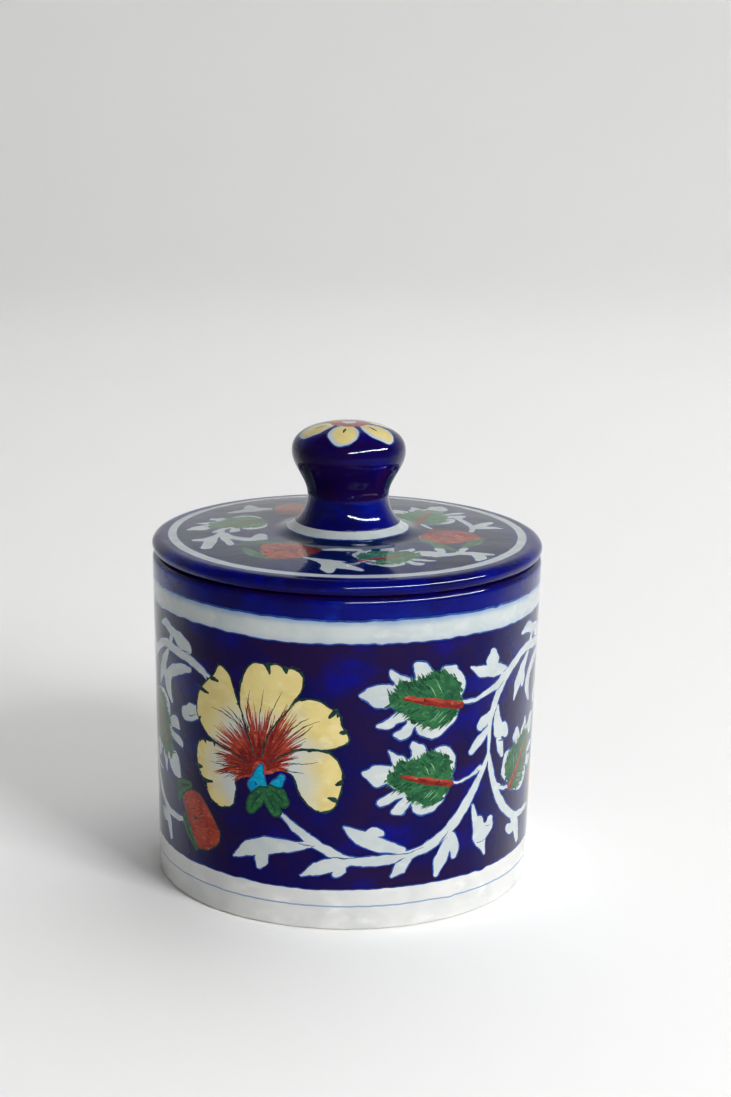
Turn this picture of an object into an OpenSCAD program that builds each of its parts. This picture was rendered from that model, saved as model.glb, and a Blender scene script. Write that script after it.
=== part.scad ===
// Lidded storage jar in painted and glazed quartz-paste ware.
// Millimetres. +Z is up. The origin is the centre of the jar's resting face.

/* [Jar] */
// Outer diameter of the wall just under the rim
jar_top_d = 99.8; // [80:0.2:140]
// Outer diameter of the wall at its foot
jar_foot_d = 96.6; // [76:0.2:136]
// Height of the jar, from the resting face to the top of the rim
jar_h = 84.6; // [60:0.2:120]
// Thickness of the wall at the rim
rim_w = 5.5; // [4.5:0.1:8]
// Inner diameter of the jar from the floor to the rim
bore_d = 88.4; // [68:0.2:128]
// Height of the floor's upper side
floor_z = 7; // [5:0.5:12]
// Height of the hollow under the jar
foot_recess = 1.2; // [0.6:0.1:3]

/* [Lid] */
// Largest diameter of the lid
lid_d = 100; // [80:0.2:140]
// Height of the lid's edge, from its underside to the start of its top
lid_edge_h = 3.8; // [2.5:0.1:6]
// Rise of the lid's top from its edge to the foot of the knob
lid_rise = 1.1; // [0.4:0.1:4]
// Gap between the lid's underside and the rim
seat_gap = 0.2; // [0.1:0.05:0.5]
// Depth of the locating ring under the lid
ring_h = 7.8; // [5:0.2:14]
// Thickness of the locating ring
ring_w = 4; // [3:0.2:6]
// Clearance all round between the locating ring and the jar
ring_gap = 1.1; // [0.6:0.1:2]

/* [Knob] */
// Largest diameter of the knob
knob_d = 29.1; // [22:0.1:36]
// Diameter of the knob's neck
neck_d = 20.8; // [14:0.1:21]
// Height from the lid's top to the neck
neck_h = 9.4; // [7:0.1:14]
// Height from the neck to the widest level of the knob
swell_h = 11.3; // [8:0.1:16]
// Height of the knob's crown above its widest level
crown_h = 7.25; // [5:0.1:12]
// Fullness of the crown, where 2 is an ellipse
crown_power = 2.35; // [2:0.05:3]

/* [Hidden] */
$fn = 180;

// Jar: the wall's corners are rounded, and its inside runs into the floor in a cove.
rim_round = 1.7;
lip_round = 1.2;
foot_round = 0.8;
cove_r = 4;
tread_w = 4.4;
base_r = bore_d / 2 - cove_r;
bore_r = bore_d / 2;

// Lid: the underside stands over the rim, and the edge rolls out to the largest diameter.
lid_z = jar_h + seat_gap;
lid_r = lid_d / 2;
edge_mid = 0.5;
edge_under = 1.6;
edge_over = 2.8;
flat_r = lid_r - edge_over - 0.8;
top_z = lid_z + lid_edge_h + lid_rise;
top_r = neck_d / 2 + neck_h;
ring_r = bore_r - ring_gap;
ring_round = 1;
ring_z = lid_z - ring_h + ring_round;

// Knob: it stands on a low boss, the lower part of the round that runs into the lid's top.
// boss_turn is the angle of that round at which the boss ends and the knob starts.
boss_turn = 43;
neck_z = top_z + neck_h;
wide_z = neck_z + swell_h;

// A point of the concave round between the neck (turn 90) and the lid's top (turn 0).
function foot_point(turn) = [
    neck_d / 2 + neck_h * (1 - sin(turn)),
    neck_z - neck_h * cos(turn)
];

// A point of the swelling between the neck (t = 0) and the widest level (t = 1).
function swell_point(t) = [
    neck_d / 2 + (knob_d - neck_d) / 2 * (1 - cos(180 * t)) / 2,
    neck_z + swell_h * t
];

// A point of the crown between the widest level (turn 0) and the very top (turn 90).
function crown_point(turn) = [
    knob_d / 2 * pow(cos(turn), 2 / crown_power),
    wide_z + crown_h * pow(sin(turn), 2 / crown_power)
];

// An arc about a centre, as a list of points.
function arc(centre, rx, ry, from, to, steps) = [
    for (i = [0 : steps])
        let (a = from + (to - from) * i / steps)
            [centre[0] + rx * cos(a), centre[1] + ry * sin(a)]
];

module jar_wall() {
    color("midnightblue")
    rotate_extrude()
    polygon(concat(
        arc([jar_foot_d / 2 - foot_round, foot_round], foot_round, foot_round, -90, 0, 5),
        arc([jar_top_d / 2 - rim_round, jar_h - rim_round], rim_round, rim_round, 0, 90, 8),
        arc([bore_r + lip_round, jar_h - lip_round], lip_round, lip_round, 90, 180, 6),
        arc([base_r, floor_z + cove_r], cove_r, cove_r, 0, -90, 8),
        [
            [base_r, foot_recess],
            [jar_foot_d / 2 - foot_round - tread_w - foot_recess, foot_recess],
            [jar_foot_d / 2 - foot_round - tread_w, 0]
        ]
    ));
}

module jar_base() {
    color("gainsboro")
    translate([0, 0, foot_recess])
    cylinder(h = floor_z - foot_recess, r = base_r);
}

module lid_disc() {
    color("darkblue")
    rotate_extrude()
    polygon(concat(
        [[0, lid_z], [lid_r - edge_under, lid_z]],
        arc([lid_r - edge_under, lid_z + lid_edge_h * edge_mid],
            edge_under, lid_edge_h * edge_mid, -70, 0, 6),
        arc([lid_r - edge_over, lid_z + lid_edge_h * edge_mid],
            edge_over, lid_edge_h * (1 - edge_mid), 10, 85, 8),
        [for (i = [0 : 8])
            let (s = i / 8)
                [flat_r - (flat_r - top_r) * s, top_z - lid_rise * pow(1 - s, 2)]],
        [for (i = [1 : 9]) foot_point(boss_turn * i / 9)],
        [[0, foot_point(boss_turn)[1]]]
    ));
}

module lid_locating_ring() {
    color("lavender")
    rotate_extrude()
    polygon(concat(
        [[ring_r - ring_w, lid_z]],
        arc([ring_r - ring_w + ring_round, ring_z], ring_round, ring_round, 180, 270, 4),
        arc([ring_r - ring_round, ring_z], ring_round, ring_round, 270, 360, 4),
        [[ring_r, lid_z]]
    ));
}

module lid_knob() {
    color("navy")
    rotate_extrude()
    polygon(concat(
        [[0, foot_point(boss_turn)[1]]],
        [for (i = [0 : 7]) foot_point(boss_turn + (90 - boss_turn) * i / 8)],
        [for (i = [0 : 14]) swell_point(i / 14)],
        [for (i = [1 : 12]) crown_point(90 * i / 13)],
        [[0, wide_z + crown_h]]
    ));
}

jar_wall();
jar_base();
lid_disc();
lid_locating_ring();
lid_knob();
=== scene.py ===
"""Looks for the lidded jar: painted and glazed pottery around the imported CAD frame.

Each painted piece is one closed mesh. Its painting is laid out on a flat sheet in millimetres, as brush
strokes with real outlines, and the sheet is then wrapped round the piece. A point of a sheet is a complex
number: on the wall the real part runs round the jar (0 at the front) and the imaginary part is the
height; on the lid it is the plan, and on the knob the distance from the crown along the surface.
"""

import cmath
import random
from math import copysign, cos, pi, radians, sin, sqrt

import bmesh
import bpy
import numpy as np
from mathutils import Matrix, Vector
from mathutils.geometry import delaunay_2d_cdt
from mathutils.noise import noise


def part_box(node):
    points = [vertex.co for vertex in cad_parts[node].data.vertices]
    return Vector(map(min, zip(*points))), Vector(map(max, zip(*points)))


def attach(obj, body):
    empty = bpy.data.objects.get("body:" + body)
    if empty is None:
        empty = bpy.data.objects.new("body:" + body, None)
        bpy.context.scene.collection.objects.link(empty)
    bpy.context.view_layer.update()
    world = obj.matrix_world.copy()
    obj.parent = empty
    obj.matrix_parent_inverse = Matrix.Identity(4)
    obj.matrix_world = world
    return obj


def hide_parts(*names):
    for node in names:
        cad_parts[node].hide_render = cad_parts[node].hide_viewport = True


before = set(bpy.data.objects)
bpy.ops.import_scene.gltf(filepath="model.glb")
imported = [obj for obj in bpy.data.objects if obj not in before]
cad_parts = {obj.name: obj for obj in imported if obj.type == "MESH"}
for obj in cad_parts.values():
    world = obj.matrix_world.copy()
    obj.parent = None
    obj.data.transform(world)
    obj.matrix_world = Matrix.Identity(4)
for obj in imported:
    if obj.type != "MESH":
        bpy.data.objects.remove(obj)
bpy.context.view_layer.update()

MM = 0.001

# ---------------- shape of the pieces, from the frame

wall_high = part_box("jar_wall")[1]
base_low, base_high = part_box("jar_base")
disc_low, disc_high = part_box("lid_disc")
ring_low, ring_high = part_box("lid_locating_ring")
knob_low, knob_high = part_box("lid_knob")

JAR_H = wall_high.z / MM
JAR_TOP_R = wall_high.x / MM
JAR_FOOT_R = JAR_TOP_R - 1.6
RIM_ROUND = 1.7
LIP_ROUND = 1.2
FOOT_ROUND = 0.8
COVE_R = 4.0
BASE_R = base_high.x / MM
BORE_R = BASE_R + COVE_R
FLOOR_Z = base_high.z / MM
RECESS_Z = base_low.z / MM
TREAD_W = 4.4

LID_Z = disc_low.z / MM
LID_R = disc_high.x / MM
RING_R = ring_high.x / MM
RING_W = 4.0
RING_Z = ring_low.z / MM
RING_ROUND = 1.0
EDGE_H = 3.8
EDGE_UNDER = 1.6
EDGE_OVER = 2.8
LID_RISE = 1.1
TOP_Z = LID_Z + EDGE_H + LID_RISE
FLAT_R = LID_R - EDGE_OVER - 0.8

BOSS_Z = knob_low.z / MM
KNOB_R = knob_high.x / MM
KNOB_TOP = knob_high.z / MM
NECK_R = 10.4
FOOT_FILLET = 9.4
NECK_Z = TOP_Z + FOOT_FILLET
WIDE_Z = NECK_Z + 11.3
CROWN_POWER = 2.35
BOSS_TURN = radians(43)
BOSS_R = NECK_R + FOOT_FILLET * (1 - sin(BOSS_TURN))
TOP_FOOT_R = NECK_R + FOOT_FILLET

SHEET_R = 49.0
HALF_TURN = pi * SHEET_R
SPOKES = 360

# ---------------- pigments

# Places in the list of materials below.
(COBALT, WASH, SLIP, LINE, LEAFLINE, YELLOW, RED, DARKRED, GREEN, DARKGREEN, LIGHTGREEN,
 TURQUOISE, PALE, PASTE, RIMBLUE, FOOTWHITE_BOUNCE_LIT, LIDBLUE, LIDGREEN) = range(18)


class Nodes:
    """The nodes of one new material. A value given to them is a number, a colour, or another's output."""

    def __init__(self, name):
        self.material = bpy.data.materials.new(name)
        self.material.use_nodes = True
        self.shader = self.material.node_tree.nodes["Principled BSDF"]
        self.place = self.new("TexCoord").outputs["Object"]

    def new(self, kind, inputs=()):
        node = self.material.node_tree.nodes.new("ShaderNode" + kind)
        self.feed(node, inputs)
        return node

    def feed(self, node, inputs):
        """Sets a node's inputs, or links them to the outputs of others."""
        for name, value in dict(inputs).items():
            if hasattr(value, "is_output"):
                self.material.node_tree.links.new(value, node.inputs[name])
            else:
                node.inputs[name].default_value = value

    def mix(self, factor, first, second):
        """The colour that goes from first to second as factor goes from 0 to 1."""
        node = self.new("Mix")
        node.data_type = "RGBA"
        first, second = (v if hasattr(v, "is_output") else (*v, 1) for v in (first, second))
        self.feed(node, {0: factor, 6: first, 7: second})
        return node.outputs[2]

    def ramp(self, value, low, high):
        """Stretches value so that low becomes 0 and high becomes 1, with a soft start and end."""
        node = self.new("MapRange", {"Value": value, "From Min": low, "From Max": high})
        node.interpolation_type = "SMOOTHSTEP"
        return node.outputs["Result"]

    def between(self, value, start, end):
        """Runs from start to end as value runs from 0 to 1."""
        return self.new("MapRange", {"Value": value, "To Min": start, "To Max": end}).outputs["Result"]

    def clouds(self, size, detail=3.0, stretch=(1, 1, 1), warp=0.0):
        """Noise with features about size metres across."""
        spread = self.new("Mapping", {"Vector": self.place, "Scale": [s / size for s in stretch]})
        vector = spread.outputs["Vector"]
        node = self.new("TexNoise", {"Vector": vector, "Scale": 1.0, "Detail": detail, "Distortion": warp})
        return node.outputs["Fac"]

    def bump(self, height, strength, depth, under=()):
        """The normal of a surface with bumps up to depth metres high. under feeds in a coarser normal."""
        node = self.new("Bump", {"Height": height, "Strength": strength, "Distance": depth})
        self.feed(node, under)
        return node.outputs["Normal"]


def pigment(name, base, deep, bright, patch=0.012, streak=0.0012, rough=0.065, fade=None, veil=None):
    """Fired pigment under a glossy glaze: patches of a deeper tone, brush streaks of a brighter one,
    a slightly uneven glaze surface, and fine pits. fade is the colour that the vertex value "fade"
    brings in, and veil the one that "veil" does. The glaze mirrors more where it is seen aslant."""
    nodes = Nodes(name)
    patches = nodes.ramp(nodes.clouds(patch, 4.0, warp=0.6), 0.38, 0.66)
    streaks = nodes.ramp(nodes.clouds(streak, 3.0, (0.7, 0.7, 1.3)), 0.5, 0.78)
    colour = nodes.mix(streaks, nodes.mix(patches, base, deep), bright)
    for attribute, tint in (("fade", fade), ("veil", veil)):
        if tint:
            value = nodes.new("Attribute")
            value.attribute_name = attribute
            colour = nodes.mix(value.outputs["Fac"], colour, tint)
    slant = nodes.new("LayerWeight", {"Blend": 0.5}).outputs["Facing"]
    wave = nodes.bump(nodes.clouds(0.011, 2.0), 0.35, 0.0005)
    pits = nodes.bump(nodes.clouds(0.0014, 4.0), 0.22, 0.00008, {"Normal": wave})
    nodes.feed(nodes.shader, {
        "Base Color": colour,
        "Roughness": nodes.between(nodes.clouds(0.006, 2.0), rough * 0.6, rough * 1.5),
        "IOR": 1.42,
        "Specular Tint": (0.82, 0.94, 1.0, 1),
        "Specular IOR Level": nodes.between(nodes.ramp(slant, 0.3, 0.8), 0.08, 0.62),
        "Normal": pits,
    })
    return nodes.material


WHITE = (0.43, 0.465, 0.465)
materials = [
    pigment("cobalt_ground", (0.003, 0.001, 0.055), (0.009, 0.002, 0.032), (0.001, 0.001, 0.15),
            0.018, 0.010),
    pigment("cobalt_wash", (0.014, 0.055, 0.26), (0.008, 0.03, 0.16), (0.04, 0.12, 0.36), 0.006, 0.002),
    pigment("white_slip", WHITE, (0.38, 0.42, 0.43), (0.48, 0.505, 0.50),
            0.009, 0.003, veil=(0.10, 0.20, 0.38)),
    pigment("blue_line", (0.015, 0.055, 0.17), (0.01, 0.03, 0.12), (0.05, 0.14, 0.32), 0.004, 0.001),
    pigment("petal_line", (0.010, 0.035, 0.030), (0.006, 0.02, 0.02), (0.03, 0.08, 0.06), 0.003, 0.0008),
    pigment("petal_yellow", (0.60, 0.50, 0.21), (0.54, 0.43, 0.16), (0.63, 0.55, 0.28),
            0.007, 0.003, fade=WHITE),
    pigment("brush_red", (0.30, 0.042, 0.022), (0.20, 0.024, 0.015), (0.44, 0.10, 0.055), 0.004, 0.0009),
    pigment("deep_red", (0.16, 0.014, 0.010), (0.09, 0.008, 0.008), (0.28, 0.03, 0.018), 0.003, 0.0008),
    pigment("leaf_green", (0.020, 0.100, 0.036), (0.010, 0.060, 0.026), (0.05, 0.16, 0.07), 0.004, 0.0009),
    pigment("deep_green", (0.008, 0.05, 0.022), (0.004, 0.03, 0.016), (0.014, 0.07, 0.03), 0.003, 0.0008),
    pigment("light_green", (0.16, 0.34, 0.17), (0.08, 0.24, 0.10), (0.30, 0.45, 0.28), 0.003, 0.0007),
    pigment("turquoise", (0.0, 0.24, 0.40), (0.0, 0.15, 0.33), (0.02, 0.36, 0.50), 0.003, 0.0008),
    pigment("pale_glaze", (0.60, 0.64, 0.635), (0.56, 0.61, 0.605), (0.63, 0.665, 0.66), 0.02, 0.007),
    pigment("bare_paste", (0.55, 0.49, 0.41), (0.46, 0.40, 0.32), (0.62, 0.57, 0.49),
            0.006, 0.0015, rough=0.55),
    pigment("rim_cobalt", (0.001, 0.002, 0.125), (0.003, 0.002, 0.050), (0.001, 0.016, 0.26), 0.014, 0.009),
    # Whiter, less blue slip for the foot. It is also brighter than the band's white: painted bounce light
    # from the floor.
    pigment("foot_white_bounce_lit", (0.55, 0.55, 0.535), (0.48, 0.49, 0.485), (0.61, 0.61, 0.60), 0.012, 0.005),
    pigment("lid_cobalt", (0.002, 0.006, 0.050), (0.002, 0.010, 0.034), (0.001, 0.004, 0.10), 0.018, 0.010),
    pigment("lid_green", (0.045, 0.16, 0.075), (0.025, 0.11, 0.05), (0.09, 0.24, 0.12), 0.004, 0.0009),
]

# ---------------- outlines on the flat sheets


def spline(points, closed=False, step=0.7):
    """A smooth curve through the points, with a new point about every step millimetres."""
    count = len(points)
    out = []
    for i in range(count if closed else count - 1):
        if closed:
            a, b, c, d = (points[(i + k) % count] for k in (-1, 0, 1, 2))
        else:
            b, c = points[i], points[i + 1]
            a = points[i - 1] if i else 2 * b - c
            d = points[i + 2] if i + 2 < count else 2 * c - b
        parts = max(2, round(abs(c - b) / step))
        for k in range(parts):
            t = k / parts
            out.append(0.5 * (2 * b + (c - a) * t + (2 * a - 5 * b + 4 * c - d) * t**2
                              + (3 * b - a - 3 * c + d) * t**3))
    return out if closed else out + [points[-1]]


def blade(path, widths, step=0.7):
    """The outline of a brush stroke along a smooth path, with its full width at each point of the path.
    An end that has a width is round."""
    curve = np.array(spline(path, step=step))
    marks = [min(range(len(curve)), key=lambda i: abs(curve[i] - p)) for p in path]
    marks[0], marks[-1] = 0, len(curve) - 1
    half = np.interp(range(len(curve)), marks, widths) / 2
    along = np.gradient(curve)
    side = 1j * along / np.maximum(np.abs(along), 1e-9)
    left = list(curve + side * half)
    right = list(curve - side * half)[::-1]

    def cap(centre, start):
        turns = [cmath.rect(1, -pi * k / 5) for k in range(1, 5)]
        return [centre + (start - centre) * turn for turn in turns] if abs(start - centre) > 0.2 else []

    return left + cap(curve[-1], left[-1]) + right + cap(curve[0], right[-1])


def grow(outline, margin):
    """The outline moved outwards by margin millimetres."""
    ring = np.array(outline)
    area = np.sum((np.conj(ring) * np.roll(ring, -1)).imag)
    along = np.roll(ring, -1) - np.roll(ring, 1)
    out = -1j * along / np.maximum(np.abs(along), 1e-9) * copysign(1, area)
    return list(ring + out * margin)


# Levels of the paint: below 1 the lid's rings, then 1 thin washes, 2 white slip, 3 dark outlines,
# 4 leaves and petals, 5 reds and veins, 6 a flower's heart and the knob's, 7 the wall's bands, and
# 8 the ring round the knob.


class Painting:
    """Brush strokes on one sheet. lay turns a point of the sheet into a point in space, in millimetres."""

    def __init__(self, lay):
        self.lay = lay
        self.strokes = []
        self.hearts = []
        self.greens = GREEN, DARKGREEN
        self.place = lambda p: p
        self.random = random.Random(7)

    def waver(self, p):
        """Moves a point a little, as an unsteady brush does."""
        spot = self.lay(p)
        aside = spot + Vector((31, 7, 3))
        slow = complex(noise(spot * 0.45), noise(aside * 0.45))
        fast = complex(noise(spot * 1.6), noise(aside * 1.6))
        return p + 0.26 * slow + 0.16 * fast

    def paint(self, level, pigment_index, outline):
        """A stroke that covers those of lower levels, and earlier ones of its own."""
        self.strokes.append((level, pigment_index, [self.waver(self.place(p)) for p in outline]))

    def edged(self, edge_level, edge, margin, level, index, outline):
        """A stroke with an edge of another pigment, margin millimetres wide, under it."""
        self.paint(edge_level, edge, grow(outline, margin))
        self.paint(level, index, outline)

    def reserve(self, outline, margin=0.35):
        """A white shape left in the blue, with a thin wash of cobalt round its edge."""
        self.edged(1, WASH, margin, 2, SLIP, outline)

    def line(self, path, width=0.3, index=LINE, level=3):
        """A thin line that tapers at both ends."""
        widths = [width * 0.5] + [width] * (len(path) - 2) + [width * 0.3]
        self.paint(level, index, blade(path, widths, 0.5))


# A leaf's white outline and the green inside it, as distances along and across from its stem, in
# millimetres for a leaf 26.4 mm long.
LEAF_LENGTH = 26.4
LEAF_WHITE = [
    0.2+1.2j, -0.4+3.7j, -0.3+6.0j, 0.6+7.5j, 2.4+8.7j, 3.4+9.6j, 4.9+9.7j, 7.0+8.7j, 7.1+7.3j,
    8.4+6.2j, 9.8+7.4j, 10.7+9.3j, 12.4+9.9j, 14.0+10j, 14.6+8.7j, 14.3+7.4j, 13.6+5.9j, 14.4+5.2j,
    16.0+5.9j, 17.7+6.3j, 20.4+6.7j, 19.7+5.3j, 18.5+3.8j, 18.4+3.0j, 20.0+2.9j, 23.3+2.7j, 24.7+1.6j,
    26.4+0j, 24.6-1.4j, 22.2-3.1j, 19.9-2.8j, 18.6-2.0j, 16.4-3.2j, 16.8-4.2j, 18.7-5.5j, 20.6-7.4j,
    19.8-8.2j, 17.9-7.6j, 15.7-6.0j, 13.6-5.2j, 14.3-6.8j, 16.3-8.8j, 15.7-9.9j, 13.8-10.2j, 12.2-9.3j,
    11.4-7.5j, 10.8-6.4j, 10.6-7.8j, 9.2-9.1j, 6.5-9.3j, 3.9-8.2j, 2.0-6.4j, 0.6-4.3j, 0.2-2.0j,
]
LEAF_GREEN = [
    0+0.4j, 0.4+3.0j, 1.5+5.2j, 3.2+6.6j, 5.2+7.4j, 7.2+7.6j, 9.0+7.4j, 10.0+6.4j, 12+5.6j, 14+4.8j,
    17+4.2j, 17.6+3.1j, 17.2+1.8j, 19.2+0.5j, 18.8-1.4j, 16.2-3.0j, 13.8-3.6j, 12.4-4.6j, 11.0-5.6j,
    9-6.1j, 6.4-6.8j, 4.4-6.2j, 2.4-5.0j, 0.8-3.0j, 0-1j,
]
MIDRIB_STROKES = [
    [15.2+0.5j, 13+0.5j, 10.6+0.3j], [9.8+0.6j, 7+0.4j, 4.6+0.1j], [4.0+0.3j, 2+0j, -0.2+0j],
]


def leaf(sheet, stem, tip, side=1):
    """A green leaf with a red midrib on a white one. side is 1 or -1, for which of its sides is up."""
    scale = abs(tip - stem) / LEAF_LENGTH
    turn = (tip - stem) / abs(tip - stem)
    rand = sheet.random
    green, shade = sheet.greens
    stretch = rand.uniform(0.94, 1.06)

    def at(*spots):
        return [stem + scale * turn * complex(p.real, -side * p.imag * stretch) for p in spots]

    white = [p + complex(rand.uniform(-0.35, 0.35), rand.uniform(-0.35, 0.35)) for p in LEAF_WHITE]
    sheet.reserve(spline(at(*white), closed=True, step=0.5), 0.4)
    sheet.paint(4, green, spline(at(*LEAF_GREEN), closed=True))
    for start in LEAF_GREEN * 9:
        start *= rand.uniform(0.86, 0.99)
        start += complex(rand.uniform(-0.9, 0.9), rand.uniform(-0.5, 0.5))
        lean = complex(0.75, copysign(rand.uniform(0.55, 1.05), start.imag))
        end = start + lean * rand.uniform(0.7, 1.9)
        colour = rand.choice((green, green, green, shade))
        sheet.paint(4.2, colour, blade(at(start, (start + end) / 2, end), [0.5, 0.34, 0.08]))
    for _ in range(34):
        start = complex(rand.uniform(1.5, 16), 0)
        start += 1j * rand.uniform(-5.4, 5.8) * (1 - abs(start.real - 8) / 14)
        end = start + complex(rand.uniform(1.4, 2.6), copysign(rand.uniform(0.8, 1.8), start.imag))
        sheet.paint(4.4, shade, blade(at(start, (start + end) / 2, end), [0.15, 0.34, 0.08]))
    for start in (7.4+1.5j, 5.5+2.4j, 4.4-2.4j, 3.2-3.0j, 5.4-2.6j):
        bow = 1j if start.imag > 0 else -1j
        path = at(start, start + 0.9 + 1.2 * bow, start + 2.2 + 2.4 * bow)
        sheet.paint(4.6, LIGHTGREEN, blade(path, [0.08, 0.26, 0.1]))
    for spot in (16.4+4.6j, 8.3+6.6j, 0.2+0.2j, 12.6-5.0j):
        path = at(spot, spot - 0.6 - 0.4j, spot - 1.3 - 0.8j)
        sheet.paint(4.7, shade, blade(path, [0.5 * scale, 1.1 * scale, 0.5 * scale]))
    midrib = at(15.6+0.2j, 8-0.3j, -0.4-0.7j)
    sheet.paint(5, DARKRED, blade(midrib, [0.5 * scale, 1.8 * scale, 2.1 * scale]))
    for path in MIDRIB_STROKES:
        sheet.paint(5.2, RED, blade(at(*path), [0.4 * scale, 1.0 * scale, 0.7 * scale]))


def bud(sheet, centre, outline, calyx, turn=0.0, dark_tip=None):
    """A red bud with green sepals. outline and calyx are about the centre, turned by turn degrees."""
    spin = cmath.rect(1, radians(turn))
    green, shade = sheet.greens

    def at(points):
        return [centre + spin * p for p in points]

    ring = spline(at(outline), closed=True)
    sheet.paint(3, LEAFLINE, grow(ring, 0.4))
    for path, widths in calyx:
        sheet.edged(3, LEAFLINE, 0.3, 4, green, blade(at(path), widths))
        sheet.paint(4.1, shade, blade(at(path), [w * 0.25 for w in widths]))
    sheet.paint(5, RED, ring)
    if dark_tip:
        sheet.paint(5.5, DARKRED, spline(at(dark_tip), closed=True))
    rand = sheet.random
    for _ in range(9):
        start = complex(rand.uniform(-4, 2), rand.uniform(-4, 4))
        path = at([start, start + 1.2 + 0.5j, start + 2.6 + 0.8j])
        sheet.paint(5.2, DARKRED, blade(path, [0.1, 0.28, 0.1]))
    sheet.paint(5.6, DARKGREEN, blade(at([-2.2+0.3j, -1.6+0.2j, -0.9+0.4j]), [0.5, 1.0, 0.5]))


# A flower's petals, about its heart: the outline, and the notches in it as (outer end, inner end).
PETALS = [
    ([0.2+2j, -2.6+9j, -5.2+14j, -7.4+19j, -8.4+22.2j, -11.3+24.4j, -13.6+21.8j, -15.4+20j,
      -18.2+17.2j, -19.5+13.4j, -19+9.8j, -15.4+5.8j, -9+3.4j, -4.4+1.6j],
     [(-14.6+21.6j, -12.2+20.4j), (-18.6+17.8j, -15.6+16.6j)]),
    ([0+2.4j, -2.6+8.4j, -5+14j, -5.1+20.4j, -3.6+24.8j, -0.8+26.9j, 2.0+26.5j, 4.2+27.1j,
      6.6+26.2j, 8.8+26.3j, 10.8+24.6j, 10.5+21.8j, 8.2+17.8j, 4.4+12.2j, 2+7.2j],
     [(2.2+27.6j, 2.5+24.8j), (6.8+27.2j, 6.9+25.4j)]),
    ([1+2.2j, 2.2+7j, 4.8+12.4j, 8.6+17.6j, 11.6+19.1j, 14.6+18.8j, 17.2+17.2j, 19.4+15.7j,
      20.4+12.4j, 22+9.3j, 19.2+7.4j, 15.4+6.8j, 11+6.6j, 7+4.8j, 3.8+2.4j],
     [(19.4+17.2j, 17.4+14.8j), (21.6+11.6j, 20+11.2j)]),
    ([3+0.6j, 7+4.2j, 11+6j, 15.4+6.1j, 18.4+5j, 20.2+1.6j, 20.4-2.2j, 19.8-5.4j, 18.2-8.2j,
      15-9.1j, 12.2-7.2j, 10.2-4.2j, 8.6-0.6j, 6.4+0.8j],
     [(21-1.6j, 19.2-2j), (19.6-6.2j, 17.4-5.6j)]),
    ([-1.6-0.6j, -6.8-3.4j, -7-6.4j, -7.8-10.2j, -10.4-11.6j, -13.6-11.4j, -16-9j, -16.6-6.6j,
      -19-4.2j, -19.8-0.4j, -18.8+3.4j, -14.6+4.1j, -10.4+3.4j, -6+1.4j],
     [(-17.8-6.6j, -14.6-6.2j), (-20.4-3.2j, -18.2-3.1j)]),
]
# How far the red hairs reach from the heart, by their angle in degrees.
HAIR_ANGLES = [2, 20, 38, 58, 72, 88, 102, 124, 145, 160, 180, 195, 214]
HAIR_REACH = [7.5, 10, 15.5, 18.5, 19.5, 15.5, 18.8, 12.5, 17, 15.5, 13, 14.5, 8]
VEINS = [
    [-3+9j, -10+12.5j, -14.4+13.2j], [-3+8j, -8.6+12.8j, -11.4+13.8j], [-3+9j, -7+13j, -9.2+14.6j],
    [-3+10j, -3.4+15j, -2.8+20j], [-0.4+10j, 0.2+15j, 1+20.4j], [1.6+10j, 3.2+15j, 5.8+20.6j],
    [5+8j, 9.4+12.4j, 12.4+14.6j], [6+8j, 11+12j, 15.2+14j], [7+7j, 11+10.4j, 13.6+12.8j],
    [6+2.4j, 10.4+2.6j, 14.6+3.4j], [6+0.8j, 9+0.5j, 11.6+0.3j],
    [-6+1.6j, -11+1.9j, -14.2+1.5j], [-5-0.6j, -10.6-0.8j, -15.2-0.9j], [-5-2.4j, -10-2.6j, -12.6-2.9j],
]
SEAMS = [
    [-1+3j, -3.2+8j, -5.2+14.4j, -7.2+18.6j], [0.6+3j, 1.6+7.4j, 4.4+12.6j, 8.8+17.6j],
    [2+1.6j, 6.4+4.8j, 11+6.5j, 15.6+6.6j, 18.4+6j], [-3+0.8j, -7+2.6j, -11.4+4.2j, -16+5.2j],
]
HEART_LEAVES = [
    ([0.4+0.9j, -0.2-1.6j, 0.8-4.6j], [0.9, 3.0, 2.2]),
    ([-1.6-2.4j, -2.2-4.4j, -0.8-5.6j], [1.0, 2.4, 2.0]),
    ([5.8-1.2j, 4.8-2.8j, 3.6-4.2j], [1.4, 2.4, 2.2]),
]
SEPALS = [
    ([-2.6-10.6j, -1.4-8.2j, 0.6-5.8j], [2.2, 3.8, 2.6]),
    ([4.2-10.4j, 3.0-8.0j, 1.6-5.6j], [2.4, 3.4, 2.2]),
    ([6.2-7.6j, 5.0-6.0j, 3.0-4.8j], [2.6, 3.6, 2.2]),
]


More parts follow.
